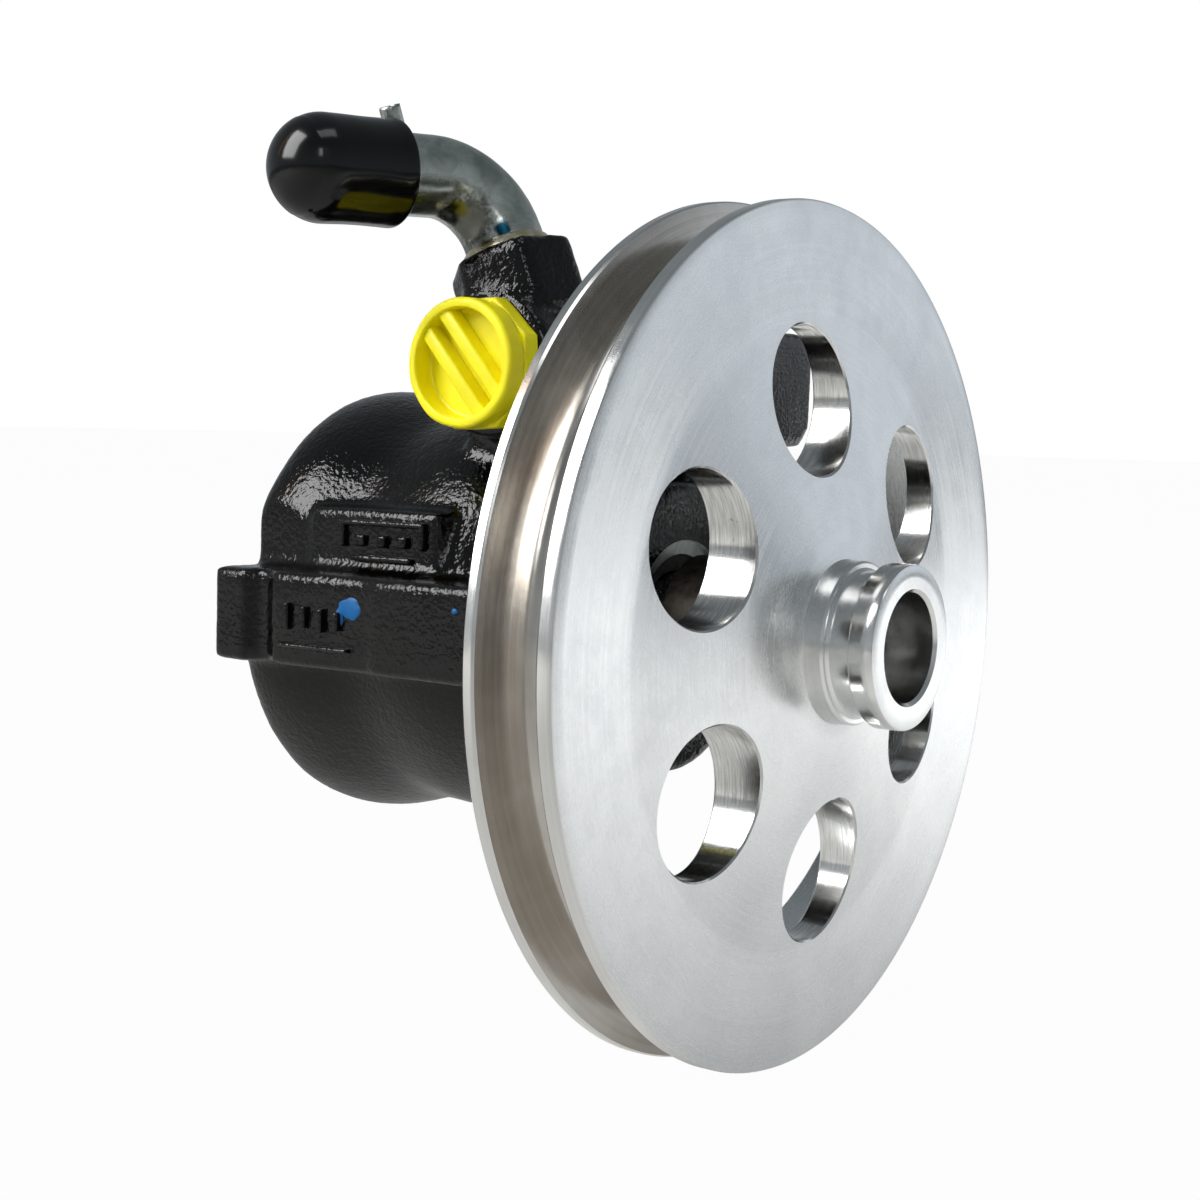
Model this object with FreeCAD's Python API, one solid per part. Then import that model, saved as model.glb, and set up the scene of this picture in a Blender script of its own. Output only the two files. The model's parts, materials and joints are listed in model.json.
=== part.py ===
import math
import os

import FreeCAD
import Part

os.makedirs("parts", exist_ok=True)

V = FreeCAD.Vector

# pulley, measured outward from the shaft axis and forward from its rim face
pulley_r = 76.2
pulley_face_y = -31.0
rim_land = 3.0
groove_width = 11.7
groove_depth = 9.6
rim_width = 17.1
rim_inner_r = 60.0
web_back_y = -25.5
dish_r = 55.5
hub_r = 14.3
hub_front_y = -51.2
hub_back_y = -8.0
hub_rear_r = 13.5
cone_rise = 6.8
collar_length = 3.9
puller_groove_r = 12.7
puller_groove_length = 4.7
window_count = 6
window_r = 13.0
window_pitch_r = 42.0
window_first_deg = 156.0

# shaft and its front bearing
shaft_r = 9.525
journal_r = 10.0
rear_journal_r = 8.0
spline_r = 7.5
shaft_front_y = -35.0
shaft_back_y = 53.5
bearing_front_y = 4.0
bearing_width = 12.0
bearing_r = 21.0
ball_r = 3.1
ball_pitch_r = 15.5
ball_count = 9

# housing
nose_front_y = -5.0
nose_r = 27.0
seal_bore_r = 16.0
seal_y = (-4.0, 2.5)
bushing_y = (25.0, 31.5)
chamber_r = 34.0
chamber_front_y = 26.0
housing_back_y = 67.4
casting_shift = V(-0.8, 0, 0.8)
skin_points = (
    (nose_r + 0.8, 3.0),
    (31.3, 9.0),
    (36.0, 16.0),
    (38.1, 24.0),
    (38.5, 32.0),
    (38.0, 39.0),
    (37.9, 43.0),
    (38.9, 48.0),
    (40.3, 53.0),
    (41.2, 58.0),
    (41.2, 63.0),
    (40.5, 65.6),
    (38.5, housing_back_y),
)
lug_x = -48.7
lug_low_z = -8.2
lug_top_z = 9.0
lug_pad_back_y = 28.3
lug_notch_y = (53.0, 58.0)
lug_back_y = 66.5
shelf_x = -38.4
ear_x = (26.0, 54.5)
ear_z = (33.0, 56.0)
ear_hole = (34.5, 40.0)
ear_hole_depth = 16.0
lug_hole_x = -41.0
lug_back_hole_x = -42.4
bolt_drill_r = 3.4
bolt_drill_depth = 22.0

# pumping cartridge
plate_r = 33.9
thrust_plate_y = (26.0, 31.5)
cam_ring_y = (31.5, 49.5)
pressure_plate_y = (49.5, 56.0)
end_cover_y = (59.0, 64.5)
cover_ring_y = (64.6, 66.2)
rotor_r = 22.0
vane_count = 10
vane_tip_r = 21.9
vane_height = 8.0
vane_thickness = 1.96
slot_width = 2.0
cam_minor_r = 22.3
cam_lift = 3.0
dowel_r = 2.4
dowel_pitch_r = 28.8

# flow control valve, across the top of the housing
valve_y = 16.0
valve_z = 46.4
valve_boss_r = 13.0
valve_boss_x = (-33.0, 36.0)
valve_bore_r = 8.0
valve_bore_end_x = 30.0
spool_r = 7.97
spool_x = (-18.6, 10.0)
port_r = 10.0
port_depth_x = -19.0
port_thread_r = 6.6

# inlet tube, bent once, and its cap
inlet_base = V(-21.8, 21.2, 67.6)
inlet_rise = V(0.0, 0.39, 0.92)
inlet_run = V(-0.957, 0.288, -0.03)
tube_r = 7.2
tube_wall = 1.0
bend_r = 13.0
tube_insert = 8.6
boss_drop = 1.9
tube_after_bend = 25.0
cap_back = 7.8
cap_r = 9.45
cap_length = 23.4
cap_bore_r = 7.98
bead_r = 7.9

# outlet shipping plug
plug_rim_r = 11.3
plug_rim_x = (-41.2, -36.2)
plug_flange_r = 12.2
plug_stem_r = 6.55


def revolved(points):
    """Solid of revolution about the shaft axis from (radius, y) points."""
    wire = Part.makePolygon([V(r, y, 0) for r, y in points + points[:1]])
    return Part.Face(wire).revolve(V(0, 0, 0), V(0, 1, 0), 360)


def tube_y(r_out, r_in, y0, y1):
    outer = Part.makeCylinder(r_out, y1 - y0, V(0, y0, 0), V(0, 1, 0))
    if r_in <= 0:
        return outer
    return outer.cut(Part.makeCylinder(r_in, y1 - y0 + 2, V(0, y0 - 1, 0), V(0, 1, 0)))


def rod(start, direction, radius, length):
    return Part.makeCylinder(radius, length, start, direction)


def box(x0, x1, y0, y1, z0, z1):
    return Part.makeBox(x1 - x0, y1 - y0, z1 - z0, V(x0, y0, z0))


def turned_about_shaft(shape, degrees):
    copy = shape.copy()
    copy.rotate(V(0, 0, 0), V(0, 1, 0), -degrees)
    return copy


def coil(radius, wire_r, start, end, turns, place):
    """Round wire spring about local Z from start to end, then placed."""
    height = end - start - 2 * wire_r
    helix = Part.makeHelix(height / turns, height, radius)
    section = Part.Wire(Part.makeCircle(wire_r, V(radius, 0, 0), V(0, 1, 0)))
    spring = Part.Wire(helix).makePipeShell([section], True, True)
    spring.translate(V(0, 0, start + wire_r))
    spring.Placement = place.multiply(spring.Placement)
    return spring


def along_y():
    return FreeCAD.Placement(V(0, 0, 0), FreeCAD.Rotation(V(0, 0, 1), V(0, 1, 0)))


def along_valve():
    return FreeCAD.Placement(V(0, valve_y, valve_z), FreeCAD.Rotation(V(0, 0, 1), V(1, 0, 0)))


def cam_radius(angle):
    return cam_minor_r + cam_lift * 0.5 * (1 - math.cos(2 * angle))


def save(shape, name):
    shape.exportStep("parts/" + name + ".step")


def make_pulley():
    back_y = pulley_face_y + rim_width
    cone_y = pulley_face_y - cone_rise
    collar_y = cone_y - collar_length
    groove_y = collar_y - puller_groove_length
    profile = [
        (shaft_r, hub_back_y),
        (shaft_r, hub_front_y + 0.6),
        (shaft_r + 0.6, hub_front_y),
        (hub_r - 0.6, hub_front_y),
        (hub_r, hub_front_y + 0.6),
        (hub_r, groove_y - 0.5),
        (hub_r - 0.5, groove_y),
        (puller_groove_r, groove_y),
        (puller_groove_r, collar_y),
        (hub_r - 0.4, collar_y),
        (hub_r, collar_y + 0.4),
        (hub_r, cone_y),
        (dish_r, pulley_face_y),
        (pulley_r - 0.8, pulley_face_y),
        (pulley_r, pulley_face_y + 0.8),
        (pulley_r, back_y - 0.8),
        (pulley_r - 0.8, back_y),
        (rim_inner_r, back_y),
        (rim_inner_r, web_back_y),
        (hub_rear_r + 1.5, web_back_y),
        (hub_rear_r, web_back_y + 1.5),
        (hub_rear_r, hub_back_y),
    ]
    pulley = revolved(profile)
    pulley = pulley.cut(belt_groove())
    for index in range(window_count):
        angle = math.radians(window_first_deg - index * 360.0 / window_count)
        center = V(window_pitch_r * math.cos(angle), -60, window_pitch_r * math.sin(angle))
        pulley = pulley.cut(rod(center, V(0, 1, 0), window_r, 60))
    return pulley


def belt_groove():
    front_y = pulley_face_y + rim_land
    slope = math.tan(math.radians(18))
    wall_depth = groove_depth - 2.0
    front_foot = V(pulley_r - wall_depth, front_y + wall_depth * slope, 0)
    back_foot = V(pulley_r - wall_depth, front_y + groove_width - wall_depth * slope, 0)
    front_top = V(pulley_r + 1.0, front_y - slope, 0)
    back_top = V(pulley_r + 1.0, front_y + groove_width + slope, 0)
    floor = V(pulley_r - groove_depth, front_y + groove_width / 2, 0)
    edges = [
        Part.makeLine(front_top, front_foot),
        Part.Arc(front_foot, floor, back_foot).toShape(),
        Part.makeLine(back_foot, back_top),
        Part.makeLine(back_top, front_top),
    ]
    return Part.Face(Part.Wire(edges)).revolve(V(0, 0, 0), V(0, 1, 0), 360)


def make_drive_shaft():
    shaft = revolved(
        [
            (0, shaft_front_y),
            (shaft_r - 1, shaft_front_y),
            (shaft_r, shaft_front_y + 1),
            (shaft_r, -7.0),
            (journal_r, -6.5),
            (journal_r, 17.0),
            (rear_journal_r, 17.4),
            (rear_journal_r, thrust_plate_y[1]),
            (spline_r, thrust_plate_y[1]),
            (spline_r, shaft_back_y - 0.6),
            (spline_r - 0.6, shaft_back_y),
            (0, shaft_back_y),
        ]
    )
    shaft = shaft.cut(rod(V(0, shaft_front_y - 1, 0), V(0, 1, 0), 4.0, 24))
    shaft = shaft.cut(tube_y(spline_r + 1, 6.7, cam_ring_y[1] + 0.1, cam_ring_y[1] + 1.3))
    for index in range(10):
        slot = box(spline_r - 0.7, spline_r + 1, thrust_plate_y[1] + 0.1, cam_ring_y[1] - 0.1, -0.8, 0.8)
        shaft = shaft.cut(turned_about_shaft(slot, 36 * index + 18))
    return shaft


def make_rotor():
    rotor = tube_y(rotor_r, spline_r + 0.03, cam_ring_y[0] + 0.05, cam_ring_y[1] - 0.05)
    slot_root = vane_tip_r - vane_height - 0.1
    for index in range(vane_count):
        slot = box(slot_root, rotor_r + 1, 20, 60, -slot_width / 2, slot_width / 2)
        rotor = rotor.cut(turned_about_shaft(slot, 36 * index))
        relief = rod(V(slot_root, 20, 0), V(0, 1, 0), 1.6, 40)
        rotor = rotor.cut(turned_about_shaft(relief, 36 * index))
    for index in range(10):
        tooth = box(spline_r - 0.65, spline_r + 0.2, cam_ring_y[0] + 0.2, cam_ring_y[1] - 0.2, -0.75, 0.75)
        rotor = rotor.fuse(turned_about_shaft(tooth, 36 * index + 18))
    return rotor


def make_vane(index):
    y0 = cam_ring_y[0] + 0.1
    y1 = cam_ring_y[1] - 0.1
    half = vane_thickness / 2
    vane = box(vane_tip_r - vane_height, vane_tip_r, y0, y1, -half, half)
    return turned_about_shaft(vane, 36 * index)


def make_bearing_race(outer):
    y0 = bearing_front_y
    y1 = bearing_front_y + bearing_width
    if outer:
        race = tube_y(bearing_r, 17.3, y0, y1)
    else:
        race = tube_y(13.7, journal_r + 0.02, y0, y1)
    track = Part.makeTorus(ball_pitch_r, ball_r + 0.08, V(0, (y0 + y1) / 2, 0), V(0, 1, 0))
    return race.cut(track)


def make_balls():
    mid = bearing_front_y + bearing_width / 2
    balls = []
    for index in range(ball_count):
        ball = Part.makeSphere(ball_r, V(ball_pitch_r, mid, 0))
        balls.append(turned_about_shaft(ball, 360.0 / ball_count * index))
    return Part.makeCompound(balls)


def make_cage():
    mid = bearing_front_y + bearing_width / 2
    cage = tube_y(16.3, 14.7, mid - 4.2, mid + 4.2)
    for index in range(ball_count):
        pocket = rod(V(ball_pitch_r - 4, mid, 0), V(1, 0, 0), ball_r + 0.05, 8)
        cage = cage.cut(turned_about_shaft(pocket, 360.0 / ball_count * index))
    return cage


def make_split_ring(r_out, r_in, y0, y1, gap, at_deg):
    ring = tube_y(r_out, r_in, y0, y1)
    slot = box(r_in - 2, r_out + 2, y0 - 1, y1 + 1, -gap / 2, gap / 2)
    return ring.cut(turned_about_shaft(slot, at_deg))


def barrel():
    """Outer skin of the cast body: nose, shoulder, front band, waist and rear band."""
    nose = revolved(
        [
            (0, nose_front_y),
            (nose_r - 1, nose_front_y),
            (nose_r, nose_front_y + 1),
            (nose_r, 0),
            (nose_r + 0.8, 0),
            (nose_r + 0.8, 4),
            (0, 4),
        ]
    )
    skin = Part.BSplineCurve()
    skin.interpolate([V(r, y, 0) for r, y in skin_points])
    edges = [
        Part.makeLine(V(0, 3, 0), V(nose_r + 0.8, 3, 0)),
        skin.toShape(),
        Part.makeLine(V(skin_points[-1][0], housing_back_y, 0), V(0, housing_back_y, 0)),
        Part.makeLine(V(0, housing_back_y, 0), V(0, 3, 0)),
    ]
    bowl = Part.Face(Part.Wire(edges)).revolve(V(0, 0, 0), V(0, 1, 0), 360)
    bowl.translate(casting_shift)
    return nose.fuse(bowl)


def side_lug():
    lug = box(lug_x, -30, 0, lug_back_y, lug_low_z, lug_top_z)
    lug = lug.cut(box(lug_x - 1, lug_x + 2.4, lug_notch_y[0], lug_notch_y[1], -20, 20))
    panel = box(lug_x - 1, lug_x + 0.7, lug_pad_back_y, lug_notch_y[0], -20, 20)
    lug = lug.cut(panel)
    shelf = box(shelf_x, -20, 22, 52, 0, 20.5)
    return lug.fuse(shelf)


def valve_boss():
    start = V(valve_boss_x[0], valve_y, valve_z)
    length = valve_boss_x[1] - valve_boss_x[0]
    boss = rod(start, V(1, 0, 0), valve_boss_r, length)
    pedestal = box(-25, 28, valve_y - 10, valve_y + 11, 22, valve_z)
    ear = box(ear_x[0], ear_x[1], 0, 13, ear_z[0], ear_z[1])
    vertical = [e for e in ear.Edges if abs(e.Vertexes[0].Y - e.Vertexes[-1].Y) > 5]
    ear = ear.makeChamfer(4.0, [e for e in vertical if e.Vertexes[0].X > 40])
    gusset = box(16, 40, 0, 13, 18, ear_z[0] + 2)
    return boss.fuse([pedestal, ear, gusset])


def inlet_boss():
    rise = V(inlet_rise)
    rise.normalize()
    foot = inlet_base - rise * 15
    cone = Part.makeCone(13.4, 11.9, 15 - boss_drop, foot, rise)
    corners = []
    for index in range(7):
        angle = math.radians(47 + 60 * index)
        corners.append(V(12.1 * math.cos(angle), 12.1 * math.sin(angle), 0))
    prism = Part.Face(Part.makePolygon(corners)).extrude(V(0, 0, 40))
    prism.translate(V(0, 0, -25))
    turn = FreeCAD.Rotation(V(0, 0, 1), rise)
    prism.Placement = FreeCAD.Placement(inlet_base, turn).multiply(prism.Placement)
    return cone.common(prism)


def make_housing():
    rise = V(inlet_rise)
    rise.normalize()
    shelf_facet = box(-60, shelf_x, 20, 75, 4, 24)
    shelf_facet.rotate(V(shelf_x, 44, 0), V(0, 0, 1), -5)
    body = barrel().cut(shelf_facet).fuse([side_lug(), valve_boss(), inlet_boss()])
    # the bores for bearing, seal, bushing and cartridge, front to back
    body = body.cut(tube_y(seal_bore_r, 0, nose_front_y - 1, bearing_front_y))
    body = body.cut(tube_y(bearing_r, 0, bearing_front_y, chamber_front_y + 1))
    bearing_back_y = bearing_front_y + bearing_width
    body = body.cut(tube_y(bearing_r + 1.3, 0, bearing_back_y, bearing_back_y + 1.6))
    body = body.cut(tube_y(chamber_r, 0, chamber_front_y, housing_back_y + 1))
    body = body.cut(tube_y(chamber_r + 1.4, 0, cover_ring_y[0], cover_ring_y[1]))
    # flow control bore, outlet port and the drilled passages between them
    axis_start = V(valve_boss_x[0] - 1, valve_y, valve_z)
    spot_face = V(-60, valve_y, valve_z)
    body = body.cut(rod(spot_face, V(1, 0, 0), plug_flange_r + 0.6, valve_boss_x[0] + 60))
    body = body.cut(rod(axis_start, V(1, 0, 0), port_r, port_depth_x - axis_start.x))
    body = body.cut(rod(axis_start, V(1, 0, 0), valve_bore_r, valve_bore_end_x - axis_start.x))
    passage = V(4, 16, -16)
    passage.normalize()
    body = body.cut(rod(V(2, valve_y, valve_z), passage, 3.0, 26))
    body = body.cut(rod(inlet_base + rise * 2, rise * -1, tube_r, tube_insert + 2.2))
    body = body.cut(rod(inlet_base, rise * -1, 4.0, 22))
    # threaded fixing holes in the front faces and the back of the lug
    body = body.cut(rod(V(ear_hole[0], -1, ear_hole[1]), V(0, 1, 0), bolt_drill_r, ear_hole_depth + 1))
    body = body.cut(rod(V(lug_hole_x, -1, 0.4), V(0, 1, 0), bolt_drill_r, bolt_drill_depth + 1))
    back = V(lug_back_hole_x, lug_back_y + 1, 0.4)
    return body.cut(rod(back, V(0, -1, 0), bolt_drill_r, bolt_drill_depth + 1))


def make_seal_case():
    case = tube_y(seal_bore_r, seal_bore_r - 1.0, *seal_y)
    return case.fuse(tube_y(seal_bore_r - 0.5, 13.4, seal_y[0], seal_y[0] + 0.9))


def make_seal_lip():
    y0 = seal_y[0] + 0.9
    return revolved(
        [
            (15.0, y0),
            (15.0, y0 + 5.4),
            (12.4, y0 + 5.4),
            (10.05, y0 + 3.6),
            (10.05, y0 + 3.0),
            (11.6, y0 + 1.6),
            (10.3, y0 + 0.4),
            (11.0, y0),
        ]
    )


def dowel(index, radius=dowel_r):
    pin = rod(V(dowel_pitch_r, 27.0, 0), V(0, 1, 0), radius, 28.0)
    return turned_about_shaft(pin, 30 + 180 * index)


def with_dowel_holes(shape):
    for index in range(2):
        shape = shape.cut(dowel(index, dowel_r + 0.03))
    return shape


def make_thrust_plate():
    plate = tube_y(plate_r, journal_r, *thrust_plate_y)
    for angle in (0, 180):
        port = rod(V(23.5, 20, 0), V(0, 1, 0), 4.0, 40)
        plate = plate.cut(turned_about_shaft(port, angle + 60))
    return with_dowel_holes(plate)


def make_cam_ring():
    points = []
    for index in range(48):
        angle = 2 * math.pi * index / 48
        radius = cam_radius(angle)
        points.append(V(radius * math.cos(angle), cam_ring_y[0] - 1, radius * math.sin(angle)))
    curve = Part.BSplineCurve()
    curve.interpolate(points, PeriodicFlag=True)
    hole = Part.Face(Part.Wire(curve.toShape())).extrude(V(0, 20, 0))
    return with_dowel_holes(tube_y(plate_r, 0, *cam_ring_y).cut(hole))


def make_pressure_plate():
    plate = tube_y(plate_r, 8.6, *pressure_plate_y)
    plate = plate.cut(tube_y(plate_r + 1, 31.6, 51.3, 54.1))
    for angle in (0, 180):
        port = rod(V(23.5, 45, 0), V(0, 1, 0), 3.5, 20)
        plate = plate.cut(turned_about_shaft(port, angle + 120))
    return with_dowel_holes(plate)


def make_end_cover():
    cover = tube_y(plate_r, 0, *end_cover_y)
    cover = cover.cut(tube_y(21.0, 0, end_cover_y[0] - 1, 61.0))
    cover = cover.cut(tube_y(plate_r + 1, 31.6, 60.6, 63.2))
    return cover.cut(tube_y(24.0, 12.0, end_cover_y[1] - 0.8, end_cover_y[1] + 1))


def seal_ring(mid_y):
    return Part.makeTorus(32.78, 1.1, V(0, mid_y, 0), V(0, 1, 0))


def make_spool():
    start = V(spool_x[0], valve_y, valve_z)
    spool = rod(start, V(1, 0, 0), spool_r, spool_x[1] - spool_x[0])
    for x0, x1, radius in ((-18.7, -14.5, 5.0), (-9.5, -8.3, 7.2), (-5.5, 1.0, 5.6), (4.5, 5.7, 7.2)):
        ring = rod(V(x0, valve_y, valve_z), V(1, 0, 0), 12, x1 - x0)
        spool = spool.cut(ring.cut(rod(V(x0 - 1, valve_y, valve_z), V(1, 0, 0), radius, x1 - x0 + 2)))
    spool = spool.cut(rod(V(-11.0, valve_y, valve_z), V(1, 0, 0), 4.0, 22))
    return spool.cut(rod(V(-2.2, valve_y - 10, valve_z), V(0, 1, 0), 1.2, 20))


def valve_rod(x0, x1, radius):
    return rod(V(x0, valve_y, valve_z), V(1, 0, 0), radius, x1 - x0)


def make_outlet_fitting():
    fitting = valve_rod(valve_boss_x[0], port_depth_x, port_r)
    fitting = fitting.cut(valve_rod(valve_boss_x[0] - 1, -23.0, port_thread_r))
    fitting = fitting.cut(valve_rod(-24, -18, 3.2))
    groove = valve_rod(-24.6, -22.2, port_r + 1).cut(valve_rod(-25, -22, port_r - 1.6))
    return fitting.cut(groove)


def make_outlet_seal():
    return Part.makeTorus(port_r - 0.85, 0.75, V(-23.4, valve_y, valve_z), V(1, 0, 0))


def make_outlet_plug():
    rim = valve_rod(plug_rim_x[0], plug_rim_x[1], plug_rim_r)
    rim = rim.makeFillet(0.8, [e for e in rim.Edges if abs(e.CenterOfMass.x - plug_rim_x[0]) < 0.01])
    rim = rim.cut(valve_rod(plug_rim_x[0] - 1, plug_rim_x[0] + 4.2, plug_rim_r - 1.8))
    corners = []
    for index in range(9):
        angle = math.radians(20 + 45 * index)
        corners.append(V(plug_rim_x[1] - 0.6, valve_y + plug_flange_r * math.cos(angle),
                         valve_z + plug_flange_r * math.sin(angle)))
    flange = Part.Face(Part.makePolygon(corners)).extrude(V(-33.1 - corners[0].x, 0, 0))
    plug = rim.fuse([flange, valve_rod(-33.5, -24.0, plug_stem_r)])
    for side in (-1, 1):
        middle = valve_y + side * 2.5
        rib = box(plug_rim_x[0] + 0.7, plug_rim_x[1] - 0.5, middle - 1.3, middle + 1.3, valve_z - 12, valve_z + 12)
        rib.rotate(V(0, valve_y, valve_z), V(1, 0, 0), -41)
        plug = plug.fuse(rib.common(valve_rod(plug_rim_x[0], plug_rim_x[1], plug_rim_r - 1.0)))
    return plug.cut(valve_rod(-33.0, -20.0, 4.6)).removeSplitter()


def tube_path(rise, run):
    """Centre line of the inlet tube: up out of the boss, round one bend, straight to its end."""
    start = inlet_base - rise * tube_insert
    bend_start = inlet_base + rise * 1.2
    cosine = rise.dot(run)
    angle = math.acos(cosine)
    inward = run - rise * cosine
    inward.normalize()

    def on_arc(turn):
        return bend_start + rise * (bend_r * math.sin(turn)) + inward * (bend_r * (1 - math.cos(turn)))

    bend_end = on_arc(angle)
    end = bend_end + run * tube_after_bend
    wire = Part.Wire(
        [
            Part.makeLine(start, bend_start),
            Part.Arc(bend_start, on_arc(angle / 2), bend_end).toShape(),
            Part.makeLine(bend_end, end),
        ]
    )
    return wire, start, bend_end, end


def unit(vector):
    copy = V(vector)
    copy.normalize()
    return copy


def make_inlet_tube():
    rise = unit(inlet_rise)
    run = unit(inlet_run)
    wire, start, bend_end, end = tube_path(rise, run)
    outer = wire.makePipeShell([Part.Wire(Part.makeCircle(tube_r, start, rise))], True, True)
    inner = wire.makePipeShell([Part.Wire(Part.makeCircle(tube_r - tube_wall, start, rise))], True, True)
    flange = Part.makeCone(8.5, 7.9, boss_drop, inlet_base - rise * boss_drop, rise)
    bead = rod(end - run * 4.0, run, bead_r, 2.0)
    bead = bead.makeChamfer(0.6, [e for e in bead.Edges if e.Curve.TypeId == "Part::GeomCircle"])
    tube = outer.fuse([flange, bead]).cut(inner)
    groove_low = inlet_base - rise * 6.8
    groove = rod(groove_low, rise, tube_r + 1, 1.6).cut(rod(groove_low - rise, rise, tube_r - 0.6, 4))
    return tube.cut(groove)


def make_inlet_seal():
    rise = unit(inlet_rise)
    return Part.makeTorus(tube_r - 0.3, 0.28, inlet_base - rise * 6.0, rise)


def cap_frame():
    run = unit(inlet_run)
    _, _, bend_end, end = tube_path(unit(inlet_rise), run)
    return bend_end + run * cap_back, run


def make_inlet_cap():
    mouth, run = cap_frame()
    side = cap_length - cap_r
    cap = rod(mouth, run, cap_r, side).fuse(Part.makeSphere(cap_r, mouth + run * side))
    cap = cap.cut(rod(mouth - run, run, cap_bore_r, cap_length - 4.4))
    return cap.removeSplitter()


def make_tube_tab():
    """Small rolled tab brazed to the back of the tube, just behind the cap."""
    mouth, run = cap_frame()
    up = V(0, 0, 1)
    across = run.cross(up) * -1
    foot = mouth - run * 4.0 + up * 4.8 - across * 3.6
    lean = unit(up * 0.95 + run * 0.33)
    stub = rod(foot, lean, 1.9, 7.6)
    stub = stub.cut(rod(foot + lean * 3.2, lean, 1.2, 10))
    tube_core = rod(mouth - run * 20, run, tube_r, 40)
    return stub.cut(tube_core)


save(make_housing(), "pump_housing")
ring_y = bearing_front_y + bearing_width
save(make_split_ring(bearing_r + 1.2, bearing_r - 2.4, ring_y, ring_y + 1.5, 8, -90), "bearing_retaining_ring")
save(make_bearing_race(True), "bearing_outer_race")
save(make_bearing_race(False), "bearing_inner_race")
save(make_balls(), "bearing_balls")
save(make_cage(), "bearing_cage")
save(make_seal_case(), "shaft_seal_case")
save(make_seal_lip(), "shaft_seal_lip")
save(tube_y(journal_r, rear_journal_r + 0.05, *bushing_y), "shaft_bushing")
save(make_thrust_plate(), "thrust_plate")
save(make_cam_ring(), "cam_ring")
save(make_pressure_plate(), "pressure_plate")
save(dowel(0), "dowel_pin_upper")
save(dowel(1), "dowel_pin_lower")
save(coil(17.0, 0.6, 56.0, 61.0, 2.0, along_y()), "pressure_plate_spring")
save(seal_ring(52.7), "pressure_plate_seal")
save(make_end_cover(), "end_cover")
save(seal_ring(61.9), "end_cover_seal")
save(make_split_ring(chamber_r + 1.3, 31.4, cover_ring_y[0], cover_ring_y[1] - 0.1, 9, -60), "end_cover_ring")
save(make_drive_shaft(), "drive_shaft")
save(make_pulley(), "pulley")
save(make_rotor(), "rotor")
save(make_split_ring(8.2, 6.7, cam_ring_y[1] + 0.1, cam_ring_y[1] + 1.2, 3, 0), "rotor_retaining_ring")
for vane_index in range(vane_count):
    save(make_vane(vane_index), "vane_%02d" % (vane_index + 1))
save(make_spool(), "flow_control_spool")
save(coil(5.6, 0.6, spool_x[1], valve_bore_end_x, 6.0, along_valve()), "flow_control_spring")
save(valve_rod(6.0, 10.0, 4.0).cut(valve_rod(5, 11, 1.3)), "relief_seat")
save(Part.makeSphere(2.1, V(4.2, valve_y, valve_z)), "relief_ball")
save(valve_rod(-2.0, 0.6, 3.0).fuse(valve_rod(0.5, 2.1, 1.6)), "relief_guide")
save(coil(2.6, 0.4, -11.0, -2.0, 5.0, along_valve()), "relief_spring")
save(make_outlet_fitting(), "outlet_fitting")
save(make_outlet_seal(), "outlet_fitting_seal")
save(make_outlet_plug(), "outlet_plug")
save(make_inlet_tube(), "inlet_tube")
save(make_inlet_seal(), "inlet_tube_seal")
save(make_inlet_cap(), "inlet_cap")
save(make_tube_tab(), "tube_locating_tab")
print("parts saved:", len(os.listdir("parts")))
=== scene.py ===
import bpy
import bmesh
import json
import math
from mathutils import Matrix, Vector, noise


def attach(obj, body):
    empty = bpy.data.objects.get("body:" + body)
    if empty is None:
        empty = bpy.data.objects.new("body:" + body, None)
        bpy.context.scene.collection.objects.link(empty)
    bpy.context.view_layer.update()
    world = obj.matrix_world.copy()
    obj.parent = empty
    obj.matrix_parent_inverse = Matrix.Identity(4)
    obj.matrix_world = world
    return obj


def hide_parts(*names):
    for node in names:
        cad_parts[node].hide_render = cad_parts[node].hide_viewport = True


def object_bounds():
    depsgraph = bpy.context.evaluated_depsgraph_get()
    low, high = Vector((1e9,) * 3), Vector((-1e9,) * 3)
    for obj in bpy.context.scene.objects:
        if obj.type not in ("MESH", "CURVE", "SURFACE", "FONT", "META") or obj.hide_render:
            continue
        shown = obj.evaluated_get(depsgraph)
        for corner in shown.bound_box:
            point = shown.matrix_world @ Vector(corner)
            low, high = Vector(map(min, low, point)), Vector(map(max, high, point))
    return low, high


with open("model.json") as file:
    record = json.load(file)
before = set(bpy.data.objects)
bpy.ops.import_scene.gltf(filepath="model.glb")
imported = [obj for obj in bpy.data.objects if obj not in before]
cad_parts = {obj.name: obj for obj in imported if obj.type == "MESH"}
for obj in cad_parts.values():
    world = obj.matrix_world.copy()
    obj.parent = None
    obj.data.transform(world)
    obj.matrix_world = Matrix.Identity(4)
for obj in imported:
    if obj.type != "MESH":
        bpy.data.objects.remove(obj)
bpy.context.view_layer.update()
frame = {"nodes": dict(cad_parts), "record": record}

mm = 0.001


def hexColour(code):
    # sRGB hex to the linear values a shader socket takes
    parts = [int(code[i:i + 2], 16) / 255 for i in (0, 2, 4)]
    return [c / 12.92 if c <= 0.04045 else ((c + 0.055) / 1.055) ** 2.4 for c in parts] + [1.0]


def addNode(tree, kind, inputs=None, **settings):
    # an input that is given a socket is linked to it, any other is set to the value given
    node = tree.nodes.new("ShaderNode" + kind)
    for name, value in settings.items():
        setattr(node, name, value)
    for name, value in (inputs or {}).items():
        if isinstance(value, bpy.types.NodeSocket):
            tree.links.new(value, node.inputs[name])
        else:
            node.inputs[name].default_value = value
    return node


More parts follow.
